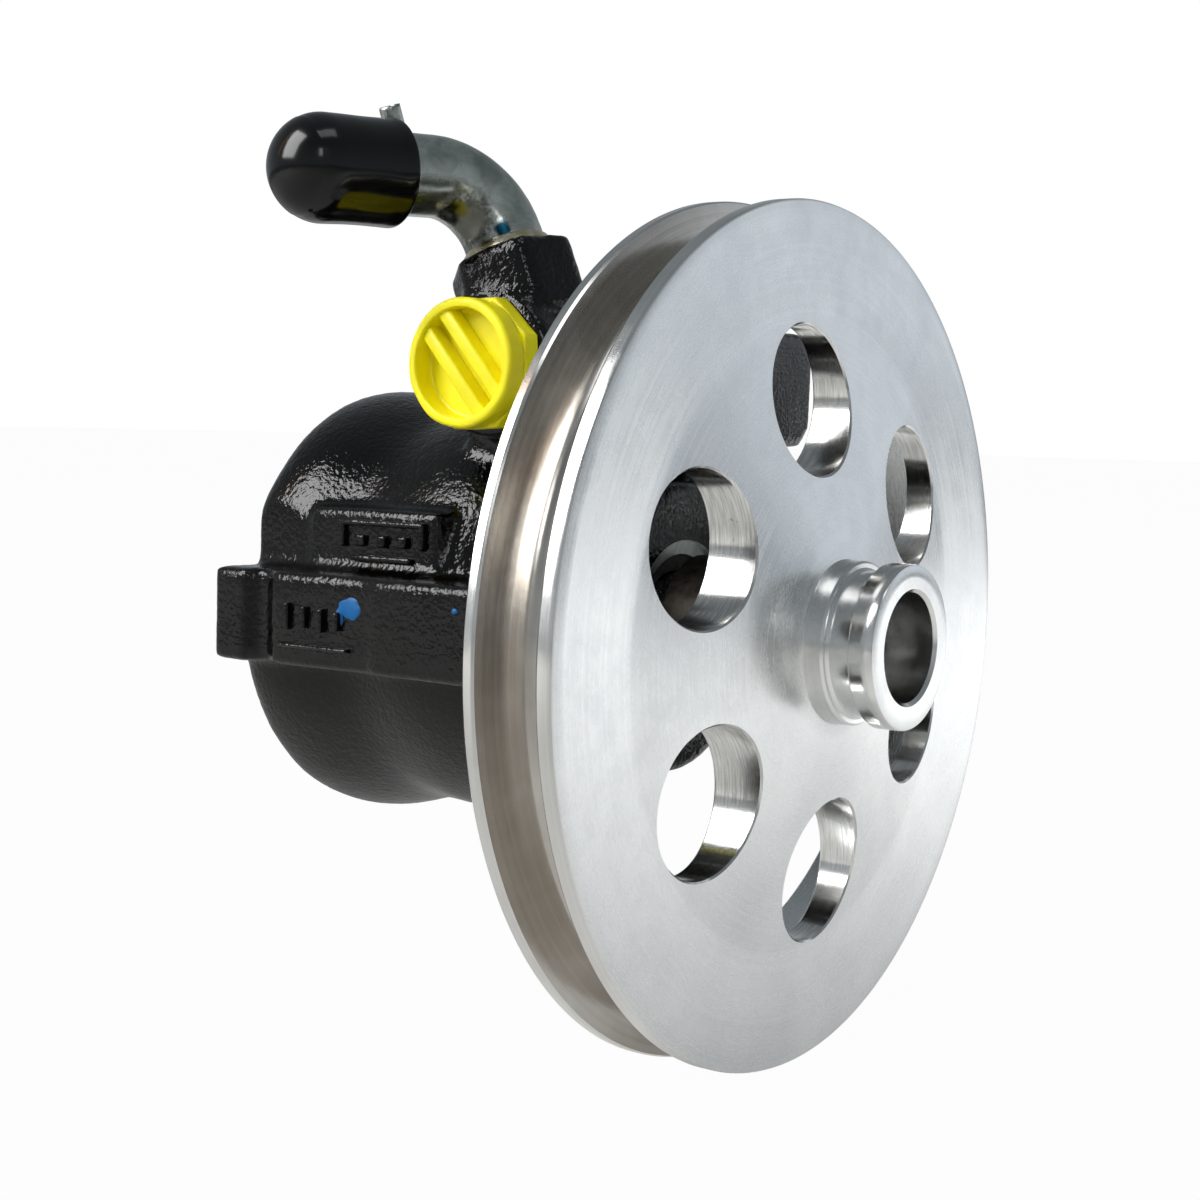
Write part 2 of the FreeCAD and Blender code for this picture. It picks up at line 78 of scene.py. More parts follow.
def newMaterial(name, **values):
    material = bpy.data.materials.new(name)
    material.use_nodes = True
    tree = material.node_tree
    tree.nodes.clear()
    shader = addNode(tree, "BsdfPrincipled", values)
    addNode(tree, "OutputMaterial", {"Surface": shader.outputs["BSDF"]})
    coords = addNode(tree, "TexCoord").outputs["Object"]
    return material, tree, shader, coords


def newObject(bm, name, materials=()):
    mesh = bpy.data.meshes.new(name)
    bm.to_mesh(mesh)
    bm.free()
    item = bpy.data.objects.new(name, mesh)
    bpy.context.scene.collection.objects.link(item)
    for material in materials:
        mesh.materials.append(material)
    return item


def shadeSmooth(mesh):
    mesh.polygons.foreach_set("use_smooth", [True] * len(mesh.polygons))


def finishPiece(piece, body, smoothDegrees):
    shadeSmooth(piece.data)
    piece.data.set_sharp_from_angle(angle=math.radians(smoothDegrees))
    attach(piece, body)


def applyModifiers(piece):
    graph = bpy.context.evaluated_depsgraph_get()
    graph.update()
    result = bpy.data.meshes.new_from_object(piece.evaluated_get(graph), depsgraph=graph)
    piece.modifiers.clear()
    piece.data = result


def cutAway(piece, cutters):
    cut = piece.modifiers.new("cut", "BOOLEAN")
    cut.operation = "DIFFERENCE"
    cut.solver = "MANIFOLD"
    cut.object = cutters
    applyModifiers(piece)
    bpy.data.objects.remove(cutters, do_unlink=True)


def placeAlong(bm, verts, start, direction, side=(1, 0, 0.0063)):
    # local Z goes along direction from start, local X towards side, by default a hair off the part's X
    z = Vector(direction).normalized()
    x = (Vector(side) - z * Vector(side).dot(z)).normalized()
    turn = Matrix((x, z.cross(x), z)).transposed().to_4x4()
    bmesh.ops.transform(bm, matrix=Matrix.Translation(Vector(start)) @ turn, verts=verts)


def turnedSolid(outline, steps, closed=False):
    # an outline of (radius, height) in millimetres spun about Z; an open one starts and ends on the axis
    bm = bmesh.new()
    verts = [bm.verts.new((r * mm, 0, z * mm)) for r, z in outline]
    edges = [bm.edges.new(pair) for pair in zip(verts, verts[1:] + verts[:1] if closed else verts[1:])]
    bmesh.ops.spin(bm, geom=verts + edges, cent=(0, 0, 0), axis=(0, 0, 1),
                   angle=math.tau, steps=steps, use_merge=True)
    bmesh.ops.remove_doubles(bm, verts=bm.verts, dist=0.001 * mm)
    bmesh.ops.recalc_face_normals(bm, faces=bm.faces)
    return bm


def finer(outline, longest, closed=False):
    # extra points along each straight run, so that no run is longer than this
    points = []
    ends = outline[1:] + outline[:1] if closed else outline[1:]
    for (r0, z0), (r1, z1) in zip(outline, ends):
        count = max(1, math.ceil(math.hypot(r1 - r0, z1 - z0) / longest))
        points += [(r0 + (r1 - r0) * k / count, z0 + (z1 - z0) * k / count) for k in range(count)]
    return points if closed else points + [outline[-1]]


def arcPoints(centre, radius, startDegrees, endDegrees, count):
    angles = [math.radians(startDegrees + (endDegrees - startDegrees) * k / count) for k in range(count + 1)]
    return [(centre[0] + radius * math.cos(a), centre[1] + radius * math.sin(a)) for a in angles]


def growRing(bm, ring, move=(0, 0, 0), scale=1.0):
    # the open end of a tube grows by one ring, moved and then sized about its own middle
    made = bmesh.ops.extrude_edge_only(bm, edges=ring)["geom"]
    verts = {g for g in made if isinstance(g, bmesh.types.BMVert)}
    bmesh.ops.translate(bm, verts=list(verts), vec=move)
    middle = sum((v.co for v in verts), Vector()) / len(verts)
    for v in verts:
        v.co = middle + (v.co - middle) * scale
    return [g for g in made if isinstance(g, bmesh.types.BMEdge) and verts.issuperset(g.verts)]


def addTurned(bm, outline, steps, start, direction, side=(1, 0, 0.0063)):
    # a turned solid joins what the mesh already holds
    solid = turnedSolid(outline, steps)
    placeAlong(solid, solid.verts, Vector(start) * mm, direction, side)
    mesh = bpy.data.meshes.new("turned")
    solid.to_mesh(mesh)
    solid.free()
    bm.from_mesh(mesh)
    bpy.data.meshes.remove(mesh)


def addRod(bm, start, end, radius, segments=64):
    start, end = Vector(start), Vector(end)
    made = bmesh.ops.create_cone(bm, cap_ends=True, segments=segments, radius1=radius * mm,
                                 radius2=radius * mm, depth=(end - start).length * mm)["verts"]
    placeAlong(bm, made, (start + end) / 2 * mm, end - start, (0.3, 0.1, 0.2))


def addBlock(bm, low, high, edge):
    # a box between two corners with rounded edges
    made = bmesh.ops.create_cube(bm, size=1.0)["verts"]
    low, high = Vector(low), Vector(high)
    bmesh.ops.scale(bm, verts=made, vec=(high - low) * mm)
    bmesh.ops.translate(bm, verts=made, vec=(low + high) / 2 * mm)
    edges = list({e for v in made for e in v.link_edges})
    rounded = bmesh.ops.bevel(bm, geom=edges, offset=edge * mm, offset_type="OFFSET", affect="EDGES",
                              segments=3, profile=0.5, material=-1)["verts"]
    return list(set([v for v in made if v.is_valid] + rounded))


# billet aluminium cut on a lathe: rings of tool marks spread each highlight across them
def turnedAluminium(name, roughness, anisotropy, ringMm, ringDepthMm, tones):
    material, tree, shader, coords = newMaterial(name, Metallic=1.0, Anisotropic=anisotropy)
    split = addNode(tree, "SeparateXYZ", {0: coords})
    flat = addNode(tree, "CombineXYZ", {0: split.outputs[0], 1: split.outputs[2]}).outputs[0]
    radius = addNode(tree, "VectorMath", {0: flat}, operation="LENGTH").outputs["Value"]
    rings = addNode(tree, "CombineXYZ", {0: radius, 1: split.outputs[1]}).outputs[0]
    marks = addNode(tree, "TexNoise", {"Vector": rings, "Scale": 1 / (ringMm * mm), "Detail": 3.0,
                                       "Roughness": 0.6}).outputs[0]
    cloud = addNode(tree, "TexNoise", {"Vector": coords, "Scale": 1 / (22 * mm), "Detail": 4.0,
                                       "Roughness": 0.55}).outputs[0]
    smudge = addNode(tree, "TexNoise", {"Vector": coords, "Scale": 1 / (5 * mm), "Detail": 5.0,
                                        "Roughness": 0.6}).outputs[0]
    low, high, mark = [hexColour(c) for c in tones]
    share = addNode(tree, "MapRange", {0: cloud, 1: 0.35, 2: 0.65}).outputs[0]
    tone = addNode(tree, "Mix", {0: share, 6: low, 7: high}, data_type="RGBA").outputs[2]
    share = addNode(tree, "MapRange", {0: marks, 1: 0.4, 2: 0.75, 4: 0.35}).outputs[0]
    tone = addNode(tree, "Mix", {0: share, 6: tone, 7: mark}, data_type="RGBA").outputs[2]
    tree.links.new(tone, shader.inputs["Base Color"])
    fine = addNode(tree, "MapRange", {0: marks, 1: 0.3, 2: 0.7, 3: roughness * 0.88, 4: roughness * 1.12})
    soft = addNode(tree, "MapRange", {0: smudge, 1: 0.4, 2: 0.7, 3: -0.015, 4: 0.035})
    rough = addNode(tree, "Math", {0: fine.outputs[0], 1: soft.outputs[0]}, operation="ADD").outputs[0]
    tree.links.new(rough, shader.inputs["Roughness"])
    bump = addNode(tree, "Bump", {"Height": marks, "Strength": 1.0, "Distance": ringDepthMm * mm}).outputs[0]
    tree.links.new(bump, shader.inputs["Normal"])
    tangent = addNode(tree, "Tangent", direction_type="RADIAL", axis="Y").outputs[0]
    tree.links.new(tangent, shader.inputs["Tangent"])
    return material


# the same billet where holes were milled through it: bright walls with fine lines round each hole
def milledAluminium():
    material, tree, shader, coords = newMaterial("milledAluminium", Metallic=1.0)
    drawn = addNode(tree, "Mapping", {"Vector": coords, "Scale": (0.06, 1.0, 0.06)}).outputs[0]
    lines = addNode(tree, "TexNoise", {"Vector": drawn, "Scale": 1 / (0.35 * mm), "Detail": 3.0,
                                       "Roughness": 0.6}).outputs[0]
    pits = addNode(tree, "TexNoise", {"Vector": coords, "Scale": 1 / (1.1 * mm), "Detail": 4.0,
                                      "Roughness": 0.7}).outputs[0]
    share = addNode(tree, "MapRange", {0: lines, 1: 0.35, 2: 0.7}).outputs[0]
    tone = addNode(tree, "Mix", {0: share, 6: hexColour("E6E6E4"), 7: hexColour("B9B8B4")},
                   data_type="RGBA").outputs[2]
    share = addNode(tree, "MapRange", {0: pits, 1: 0.66, 2: 0.74, 4: 0.6}).outputs[0]
    tone = addNode(tree, "Mix", {0: share, 6: tone, 7: hexColour("6E6B66")}, data_type="RGBA").outputs[2]
    tree.links.new(tone, shader.inputs["Base Color"])
    rough = addNode(tree, "MapRange", {0: lines, 1: 0.3, 2: 0.7, 3: 0.12, 4: 0.22}).outputs[0]
    tree.links.new(rough, shader.inputs["Roughness"])
    bump = addNode(tree, "Bump", {"Height": lines, "Strength": 1.0, "Distance": 0.006 * mm}).outputs[0]
    tree.links.new(bump, shader.inputs["Normal"])
    return material


# gloss enamel over sand-cast iron: the paint is smooth but follows the grain of the sand,
# and the faces turned downwards are given a slightly lighter brown-black and a rougher finish
def castBlackPaint():
    material, tree, shader, coords = newMaterial("castBlackPaint", IOR=1.42)
    grain = addNode(tree, "TexNoise", {"Vector": coords, "Scale": 1 / (0.85 * mm), "Detail": 1.8,
                                       "Roughness": 0.45}).outputs[0]
    patch = addNode(tree, "TexNoise", {"Vector": coords, "Scale": 1 / (17 * mm), "Detail": 2.0,
                                       "Roughness": 0.5}).outputs[0]
    normal = addNode(tree, "NewGeometry").outputs["Normal"]
    slope = addNode(tree, "SeparateXYZ", {0: normal}).outputs[2]
    under = addNode(tree, "MapRange", {0: slope, 1: -0.75, 2: -0.05, 3: 1.0, 4: 0.0}).outputs[0]
    share = addNode(tree, "MapRange", {0: patch, 1: 0.4, 2: 0.65}).outputs[0]
    tone = addNode(tree, "Mix", {0: share, 6: hexColour("030202"), 7: hexColour("070605")},
                   data_type="RGBA").outputs[2]
    tone = addNode(tree, "Mix", {0: under, 6: tone, 7: hexColour("110F0E")}, data_type="RGBA").outputs[2]
    tree.links.new(tone, shader.inputs["Base Color"])
    glossy = addNode(tree, "MapRange", {0: patch, 1: 0.35, 2: 0.65, 3: 0.10, 4: 0.20}).outputs[0]
    rough = addNode(tree, "Math", {0: under, 1: 0.22, 2: glossy}, operation="MULTIPLY_ADD").outputs[0]
    tree.links.new(rough, shader.inputs["Roughness"])
    bump = addNode(tree, "Bump", {"Height": grain, "Strength": 1.0, "Distance": 0.16 * mm}).outputs[0]
    tree.links.new(bump, shader.inputs["Normal"])
    return material


# electroplated zinc: dull grey with a green cast, cloudy, specked with dark grains
def zincPlatedSteel(name, low, high, roughness, patches=()):
    material, tree, shader, coords = newMaterial(name, Metallic=1.0)
    cloud = addNode(tree, "TexNoise", {"Vector": coords, "Scale": 1 / (4.5 * mm), "Detail": 6.0,
                                       "Roughness": 0.65, "Distortion": 0.6}).outputs[0]
    speck = addNode(tree, "TexNoise", {"Vector": coords, "Scale": 1 / (0.9 * mm), "Detail": 3.0,
                                       "Roughness": 0.6}).outputs[0]
    share = addNode(tree, "MapRange", {0: cloud, 1: 0.35, 2: 0.65}).outputs[0]
    tone = addNode(tree, "Mix", {0: share, 6: hexColour(low), 7: hexColour(high)},
                   data_type="RGBA").outputs[2]
    share = addNode(tree, "MapRange", {0: speck, 1: 0.64, 2: 0.76, 4: 0.4}).outputs[0]
    tone = addNode(tree, "Mix", {0: share, 6: tone, 7: hexColour("4B4A44")}, data_type="RGBA").outputs[2]
    for centre, reach, colour, strength, grainMm in patches:
        size = 1 / (reach * mm)
        spot = addNode(tree, "Mapping", {"Vector": coords, "Location": Vector(centre) * -mm * size,
                                         "Scale": (size, size, size)}).outputs[0]
        near = addNode(tree, "TexGradient", {"Vector": spot}, gradient_type="SPHERICAL").outputs[1]
        ragged = addNode(tree, "TexNoise", {"Vector": coords, "Scale": 1 / (grainMm * mm), "Detail": 5.0,
                                            "Roughness": 0.7}).outputs[0]
        both = addNode(tree, "Math", {0: near, 1: ragged}, operation="ADD").outputs[0]
        share = addNode(tree, "MapRange", {0: both, 1: 0.72, 2: 1.0, 4: strength}).outputs[0]
        tone = addNode(tree, "Mix", {0: share, 6: tone, 7: hexColour(colour)}, data_type="RGBA").outputs[2]
    tree.links.new(tone, shader.inputs["Base Color"])
    rough = addNode(tree, "MapRange", {0: cloud, 1: 0.35, 2: 0.65, 3: roughness * 0.8, 4: roughness * 1.3})
    tree.links.new(rough.outputs[0], shader.inputs["Roughness"])
    bump = addNode(tree, "Bump", {"Height": cloud, "Strength": 0.6, "Distance": 0.06 * mm}).outputs[0]
    tree.links.new(bump, shader.inputs["Normal"])
    return material


# ground or drawn steel, sintered iron and brass: they differ in colour, roughness and grain only
def workedMetal(name, low, high, roughness, grainMm):
    material, tree, shader, coords = newMaterial(name, Metallic=1.0)
    grain = addNode(tree, "TexNoise", {"Vector": coords, "Scale": 1 / (grainMm * mm), "Detail": 4.0,
                                       "Roughness": 0.6}).outputs[0]
    share = addNode(tree, "MapRange", {0: grain, 1: 0.35, 2: 0.65}).outputs[0]
    tone = addNode(tree, "Mix", {0: share, 6: hexColour(low), 7: hexColour(high)},
                   data_type="RGBA").outputs[2]
    tree.links.new(tone, shader.inputs["Base Color"])
    rough = addNode(tree, "MapRange", {0: grain, 1: 0.35, 2: 0.65, 3: roughness * 0.8, 4: roughness * 1.25})
    tree.links.new(rough.outputs[0], shader.inputs["Roughness"])
    bump = addNode(tree, "Bump", {"Height": grain, "Strength": 0.5, "Distance": 0.02 * mm}).outputs[0]
    tree.links.new(bump, shader.inputs["Normal"])
    return material


# moulded or dipped polymer: one colour that drifts a little under a soft skin
def mouldedPolymer(name, low, high, roughness, grainMm, depthMm, ior, subsurface=0.0, coat=0.0):
    values = {"IOR": ior, "Subsurface Weight": subsurface, "Subsurface Scale": 1.5 * mm,
              "Coat Weight": coat, "Coat Roughness": 0.06}
    material, tree, shader, coords = newMaterial(name, **values)
    drift = addNode(tree, "TexNoise", {"Vector": coords, "Scale": 1 / (7 * mm), "Detail": 3.0}).outputs[0]
    skin = addNode(tree, "TexNoise", {"Vector": coords, "Scale": 1 / (grainMm * mm),
                                      "Detail": 3.0}).outputs[0]
    share = addNode(tree, "MapRange", {0: drift, 1: 0.35, 2: 0.65}).outputs[0]
    tone = addNode(tree, "Mix", {0: share, 6: hexColour(low), 7: hexColour(high)},
                   data_type="RGBA").outputs[2]
    tree.links.new(tone, shader.inputs["Base Color"])
    rough = addNode(tree, "MapRange", {0: skin, 1: 0.35, 2: 0.65, 3: roughness * 0.85, 4: roughness * 1.2})
    tree.links.new(rough.outputs[0], shader.inputs["Roughness"])
    bump = addNode(tree, "Bump", {"Height": skin, "Strength": 0.6, "Distance": depthMm * mm}).outputs[0]
    tree.links.new(bump, shader.inputs["Normal"])
    return material


# each patch is (centre mm, radius mm, colour, strength, grain mm)
tubePatches = (
    ((-30.5, 23.5, 71.5), 7.5, "4A443C", 0.8, 0.9),  # a darker brown patch in the crook of the bend
    ((-27.4, 17.5, 70.4), 2.2, "123A4C", 1.0, 2.5),  # a drip of dark blue paint by the flange
    ((-27.5, 20.5, 81.0), 5.0, "5E6461", 0.3, 1.2),  # a dull grey patch on top of the bend, over the dents
)
finishes = {
    # a soft satin sheen fans round the face
    "turnedFace": turnedAluminium("turnedFace", 0.27, 0.66, 0.55, 0.003, ("EAECEC", "DEE0E1", "F3F4F3")),
    # a finer cut: narrow bright bands on the hub and the rim
    "turnedBright": turnedAluminium("turnedBright", 0.17, 0.45, 0.35, 0.003, ("E8E8E6", "DAD9D6", "F2F1EE")),
    # coarse rings, warmer and duller, where the belt runs
    "turnedGroove": turnedAluminium("turnedGroove", 0.20, 0.5, 0.9, 0.012, ("CFCBC5", "B5AFA7", "E4E2DE")),
    "milled": milledAluminium(),
    # painted shade: the hub's rear behind the web is coloured near-black, so the windows look into darkness
    "shadeBehindHub": workedMetal("paintedShadeAluminium", "1E1C1A", "34302C", 0.45, 2.0),
    "paint": castBlackPaint(),
    # dull grey-green plating, brighter on the drawn tube
    "zinc": zincPlatedSteel("zincPlatedSteel", "8B9189", "BFC4BE", 0.30),
    "tubeZinc": zincPlatedSteel("zincPlatedTube", "A3AAA3", "C4CAC4", 0.22, tubePatches),
    # straw yellow passivation, on the flange ring only
    "collar": workedMetal("yellowChromateZinc", "C9B47E", "E2DCC8", 0.22, 2.5),
    # clean cut steel in three degrees of polish, then porous iron and yellow brass
    "machined": workedMetal("machinedSteel", "8E8F91", "B4B5B6", 0.26, 2.0),
    "bearing": workedMetal("bearingSteel", "A5A6A8", "C6C7C8", 0.14, 3.0),
    "spring": workedMetal("springSteel", "4A4B4F", "6A6B6F", 0.34, 1.5),
    "sintered": workedMetal("sinteredIron", "5E5F62", "7D7E80", 0.42, 0.6),
    "brass": workedMetal("cageBrass", "B08A42", "CDA75A", 0.28, 1.5),
    # matt black rubber, wet-looking black vinyl, waxy yellow plastic, flat blue paint
    "rubber": mouldedPolymer("nitrileRubber", "121212", "1C1C1C", 0.55, 0.8, 0.02, 1.52),
    "vinyl": mouldedPolymer("dippedVinyl", "030303", "050506", 0.15, 6.0, 0.10, 1.42),
    "yellow": mouldedPolymer("yellowPolyethylene", "F0E400", "FBF000", 0.42, 1.6, 0.05, 1.5, subsurface=0.1),
    "blue": mouldedPolymer("blueMarkingPaint", "004B84", "005E9C", 0.45, 1.2, 0.08, 1.4),
}
slotFinish = {
    "black_iron": "paint", "billet_aluminium": "turnedFace", "zinc_steel": "zinc",
    "machined_steel": "machined", "bearing_steel": "bearing", "spring_steel": "spring",
    "sintered_iron": "sintered", "cage_brass": "brass", "seal_rubber": "rubber",
    "black_vinyl": "vinyl", "yellow_plastic": "yellow",
}


def dressCadNodes():
    # every node that stays takes the finish of its record slot; its loose triangles are joined for shading
    for part in frame["record"]["subparts"]:
        node = frame["nodes"][part["node"]]
        finish = finishes[slotFinish[part["material_slot"]]]
        if not node.data.materials:
            node.data.materials.append(finish)
        for index in range(len(node.data.materials)):
            node.data.materials[index] = finish
        shadeSmooth(node.data)
        weld = node.modifiers.new("joinTriangles", "WELD")
        weld.merge_threshold = 0.002 * mm
        split = node.modifiers.new("keepEdges", "EDGE_SPLIT")
        split.split_angle = math.radians(32)


dressCadNodes()
print("CAD nodes dressed:", len(frame["nodes"]))


pulley = {
    "rimRadius": 76.2, "faceY": -31.0, "land": 3.0, "grooveWidth": 11.7, "grooveDepth": 9.6,
    "grooveWallDegrees": 18, "rimWidth": 17.1, "rimInner": 60.0, "webBackY": -25.5, "dishRadius": 55.5,
    "hubRadius": 14.3, "coneRise": 6.8, "collar": 3.9, "pullerRadius": 12.7, "pullerLength": 4.7,
    "hubFrontY": -51.2, "hubBackY": -8.0, "hubRear": 13.5, "boreRadius": 9.525, "windowRadius": 13.0,
    "windowPitch": 42.0, "windowCount": 6, "firstWindowDegrees": 156, "edgeBreak": 0.35,
    "grooveFoot": 2.0, "longestRun": 2.6, "steps": 360, "windowSteps": 144,
    "finishes": ("turnedFace", "turnedBright", "turnedGroove", "milled", "shadeBehindHub"),
}


def dishY(radius):
    # front surface of the web, as a height over the radius
    p = pulley
    share = (p["dishRadius"] - radius) / (p["dishRadius"] - p["hubRadius"])
    return p["faceY"] - p["coneRise"] * min(max(share, 0.0), 1.0)


def pulleyOutline():
    p = pulley
    coneY = p["faceY"] - p["coneRise"]
    collarY = coneY - p["collar"]
    pullerY = collarY - p["pullerLength"]
    backY = p["faceY"] + p["rimWidth"]
    landY = p["faceY"] + p["land"]
    farLandY = landY + p["grooveWidth"]
    wall = p["grooveDepth"] - p["grooveFoot"]
    foot = p["rimRadius"] - wall
    half = p["grooveWidth"] / 2 - wall * math.tan(math.radians(p["grooveWallDegrees"]))
    # the groove's floor is an arc through both wall feet and the deepest point
    sag = p["grooveDepth"] - wall
    arcRadius = (half * half + sag * sag) / (2 * sag)
    sweep = math.degrees(math.asin(half / arcRadius))
    arcCentre = (foot - sag + arcRadius, landY + p["grooveWidth"] / 2)
    floor = arcPoints(arcCentre, arcRadius, 180 + sweep, 180 - sweep, 12)
    hub, rim, bore, puller = p["hubRadius"], p["rimRadius"], p["boreRadius"], p["pullerRadius"]
    rear = p["hubRear"]
    return [
        (bore, p["hubBackY"]), (bore, p["hubFrontY"] + 0.6), (bore + 0.6, p["hubFrontY"]),
        (hub - 0.5, p["hubFrontY"]), (hub - 0.15, p["hubFrontY"] + 0.15), (hub, p["hubFrontY"] + 0.5),
        (hub, pullerY - 0.35), (hub - 0.35, pullerY), (puller + 0.3, pullerY), (puller, pullerY + 0.3),
        (puller, collarY - 0.5), (puller + 0.5, collarY), (hub - 0.4, collarY), (hub, collarY + 0.4),
        (hub, coneY - 0.5), (hub + 0.12, coneY - 0.12), (hub + 0.6, dishY(hub + 0.6)),
        (p["dishRadius"] - 0.4, dishY(p["dishRadius"] - 0.4)), (p["dishRadius"] + 0.4, p["faceY"]),
        (rim - 0.6, p["faceY"]), (rim - 0.18, p["faceY"] + 0.18), (rim, p["faceY"] + 0.6),
        (rim, landY - 0.35), (rim - 0.3, landY + 0.1)
    ] + floor + [
        (rim - 0.3, farLandY - 0.1), (rim, farLandY + 0.35), (rim, backY - 0.6), (rim - 0.6, backY),
        (p["rimInner"] + 0.4, backY), (p["rimInner"], backY - 0.4), (p["rimInner"], p["webBackY"] + 1.0),
        (p["rimInner"] - 1.0, p["webBackY"]), (rear + 1.5, p["webBackY"]), (rear, p["webBackY"] + 1.5),
        (rear, p["hubBackY"] - 0.5), (rear - 0.5, p["hubBackY"])
    ]


def addWindow(bm, centre):
    # a round bar whose front rings follow the dish, with a narrow flare that breaks each edge
    p = pulley
    verts = bmesh.ops.create_circle(bm, segments=p["windowSteps"], radius=p["windowRadius"] * mm)["verts"]
    placeAlong(bm, verts, centre * mm, (0, 1, 0))
    ring = list({e for v in verts for e in v.link_edges})
    opening = p["edgeBreak"]
    levels = (
        (opening, lambda r: p["webBackY"] + 3), (opening, lambda r: p["webBackY"] + 0.02),
        (0.0, lambda r: p["webBackY"] - opening), (0.0, lambda r: dishY(r) + opening),
        (opening, lambda r: dishY(r) - 0.02), (opening, lambda r: p["hubFrontY"]),
    )
    caps = []
    for index, (widen, height) in enumerate(levels):
        if index:
            ring = growRing(bm, ring)
        for v in {v for e in ring for v in e.verts}:
            away = Vector((v.co.x / mm - centre.x, 0, v.co.z / mm - centre.z)).normalized()
            spot = centre + away * (p["windowRadius"] + widen)
            v.co = Vector((spot.x, height(math.hypot(spot.x, spot.z)), spot.z)) * mm
        if index in (0, len(levels) - 1):
            caps.append(ring)
    for cap in caps:
        bmesh.ops.edgeloop_fill(bm, edges=cap)


def makePulley():
    p = pulley
    bm = turnedSolid(finer(pulleyOutline(), p["longestRun"], closed=True), p["steps"], closed=True)
    placeAlong(bm, bm.verts, (0, 0, 0), (0, 1, 0))
    bmesh.ops.recalc_face_normals(bm, faces=bm.faces)
    # the finish follows from where a face lies on the profile
    names = p["finishes"]
    for face in bm.faces:
        middle = face.calc_center_median() / mm
        radius = math.hypot(middle.x, middle.z)
        onHub = radius < p["hubRadius"] + 0.4 and middle.y < -20 and abs(face.normal.y) < 0.9
        onRim = radius > p["rimRadius"] - 0.45 and middle.y > p["faceY"] + 0.1
        pastLand = middle.y > p["faceY"] + p["land"]
        inGroove = radius > p["rimInner"] + 1 and pastLand and abs(face.normal.y) < 0.98
        behind = radius < p["hubRear"] + 2 and middle.y > p["webBackY"] - 0.1
        name = "turnedBright" if onHub or onRim else "turnedGroove" if inGroove else "turnedFace"
        # the hub's rear faces behind the web take the painted shade
        name = "shadeBehindHub" if behind else name
        face.material_index = names.index(name)
    piece = newObject(bm, "pulleyBody", [finishes[n] for n in names])
    bm = bmesh.new()
    for index in range(p["windowCount"]):
        angle = math.radians(p["firstWindowDegrees"] - index * 360 / p["windowCount"])
        addWindow(bm, Vector((math.cos(angle), 0, math.sin(angle))) * p["windowPitch"])
    bmesh.ops.recalc_face_normals(bm, faces=bm.faces)
    for face in bm.faces:
        face.material_index = names.index("milled")
    cutAway(piece, newObject(bm, "windowCutters", [finishes[n] for n in names]))
    finishPiece(piece, "rotating_group", 25)
    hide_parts("pulley")
    print("pulley turned and windowed:", len(piece.data.polygons), "faces")


makePulley()


# where the valve bore's axis crosses X = 0, where the tube leaves its boss, and the tube's two directions
valveAt = Vector((0, 16.0, 46.4))
inletBase = Vector((-21.8, 21.2, 67.6))
inletRise = Vector((0.0, 0.39, 0.92)).normalized()
inletRun = Vector((-0.957, 0.288, -0.03)).normalized()

housing = {
    "voxel": 0.72, "easePasses": 12, "grainHeight": 0.10, "grainSize": 1.9, "lumpHeight": 0.16,
    "lumpSize": 11.0, "shrink": 0.05,
    "boltRadius": 3.4, "countersink": 0.9,
    "frontHoles": ((34.5, 40.0, 16.0), (-41.0, 0.4, 22.0)),  # x, z and depth
    "rearHole": (-42.4, 0.4, 44.5), "rearFaceY": 66.6,  # x, z and the bottom's y
    "backY": 67.4, "chamberRadius": 34.0, "chamberFrontY": 26.0, "ringGrooveRadius": 35.4,
    "ringGrooveY": (64.6, 66.2), "sealBore": 16.0, "bearingBore": 21.0, "sealShoulderY": 4.0,
    "portFaceRadius": 12.8, "portFaceX": -33.0, "portRadius": 10.0, "portEndX": -19.0,
    "tubeSeatRadius": 7.2, "tubeSeatDepth": 10.8,
}


def boreFillers():
    # solid bars that close every bore while the raw casting's skin is formed
    h = housing
    bm = bmesh.new()
    addRod(bm, (0, -4.9, 0), (0, 30, 0), 24.0)
    addRod(bm, (0, 25, 0), (0, h["backY"] - 0.1, 0), h["chamberRadius"] + 2.6, 128)
    addRod(bm, valveAt - Vector((32.9, 0, 0)), valveAt + Vector((32, 0, 0)), 10.8)
    addRod(bm, inletBase - inletRise * 14, inletBase - inletRise * 2.0, 8.0)
    for x, z, depth in h["frontHoles"]:
        addRod(bm, (x, 0.1, z), (x, depth + 2, z), h["boltRadius"] + 0.4, 24)
    x, z, bottomY = h["rearHole"]
    addRod(bm, (x, bottomY - 0.5, z), (x, h["rearFaceY"] - 0.2, z), h["boltRadius"] + 0.4, 24)
    return bm


